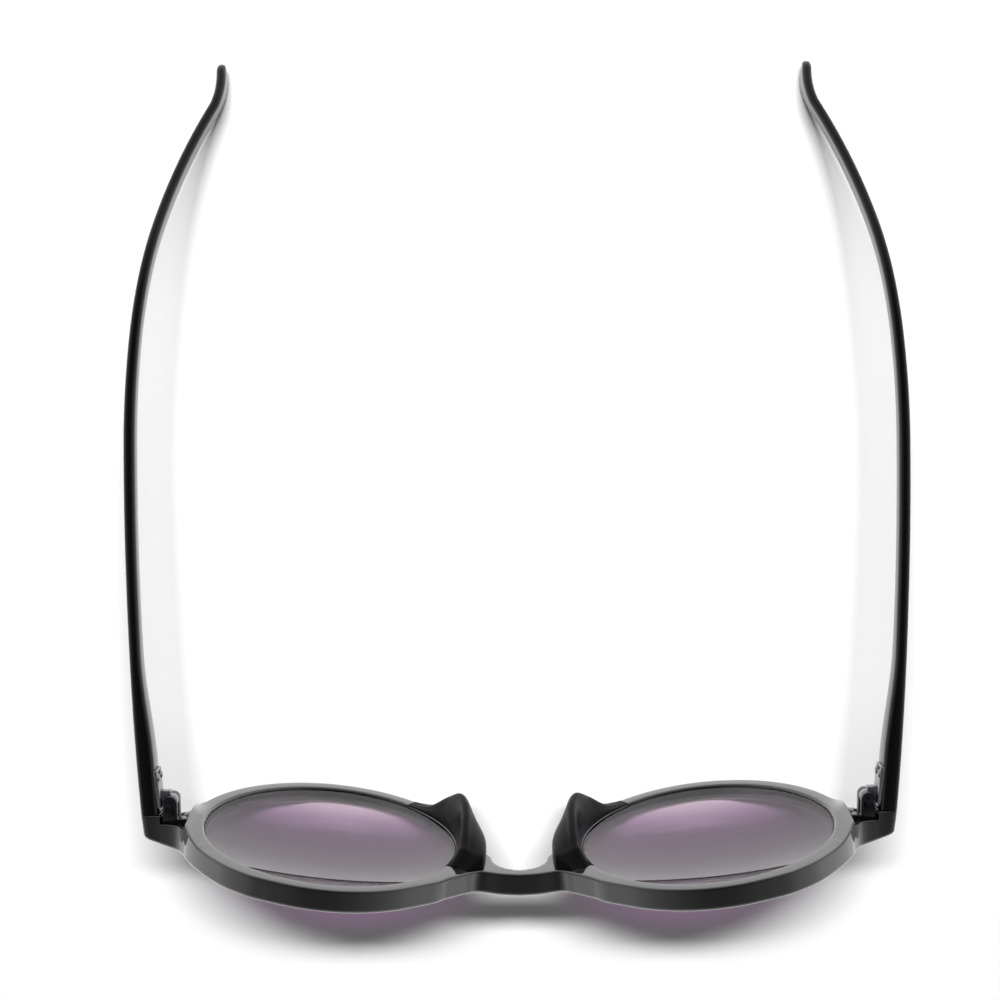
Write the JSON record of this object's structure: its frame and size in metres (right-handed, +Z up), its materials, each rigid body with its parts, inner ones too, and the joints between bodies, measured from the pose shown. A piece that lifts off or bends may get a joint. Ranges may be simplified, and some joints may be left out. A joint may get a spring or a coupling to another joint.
{
  "type": "bifocal reading sunglasses",
  "caption": "Round-lens reading sunglasses with moulded reading segments, wedge nose pads, riveted metal hinges and folding temples with curved ear ends.",
  "frame": {"origin": "on the table that the open glasses stand on, in the plane of symmetry, midway between the front of the bridge and the ends of the temple tips", "axes": "+X across to the wearer's left, +Y back towards the ears, +Z up from the table"},
  "size_m": [0.1438, 0.153, 0.0524],
  "materials": {
    "black_plastic": "polished black",
    "lens": "clear purple-grey tint",
    "nose_pad": "satin black",
    "hinge": "plain metal",
    "fastener": "plain metal",
    "core_wire": "plain metal"
  },
  "bodies": {
    "front": {"front_frame": "black_plastic", "right_lens": "lens", "left_lens": "lens", "right_nose_pad": "nose_pad", "left_nose_pad": "nose_pad", "right_front_hinge": "hinge", "left_front_hinge": "hinge", "right_hinge_screw": "fastener", "left_hinge_screw": "fastener", "right_front_rivets": "fastener", "left_front_rivets": "fastener"},
    "right_temple_arm": {"right_temple": "black_plastic", "right_core_wire": "core_wire", "right_temple_hinge": "hinge", "right_temple_rivets": "fastener"},
    "left_temple_arm": {"left_temple": "black_plastic", "left_core_wire": "core_wire", "left_temple_hinge": "hinge", "left_temple_rivets": "fastener"}
  },
  "joints": [
    {"name": "right_temple_fold", "type": "hinge", "parent": "front", "child": "right_temple_arm", "pos_m": [-0.06405, -0.0599, 0.0296], "axis": [0, 0, -1], "range_deg": [0, 84]},
    {"name": "left_temple_fold", "type": "hinge", "parent": "front", "child": "left_temple_arm", "pos_m": [0.06405, -0.0599, 0.0296], "axis": [0, 0, 1], "range_deg": [0, 89]}
  ]
}
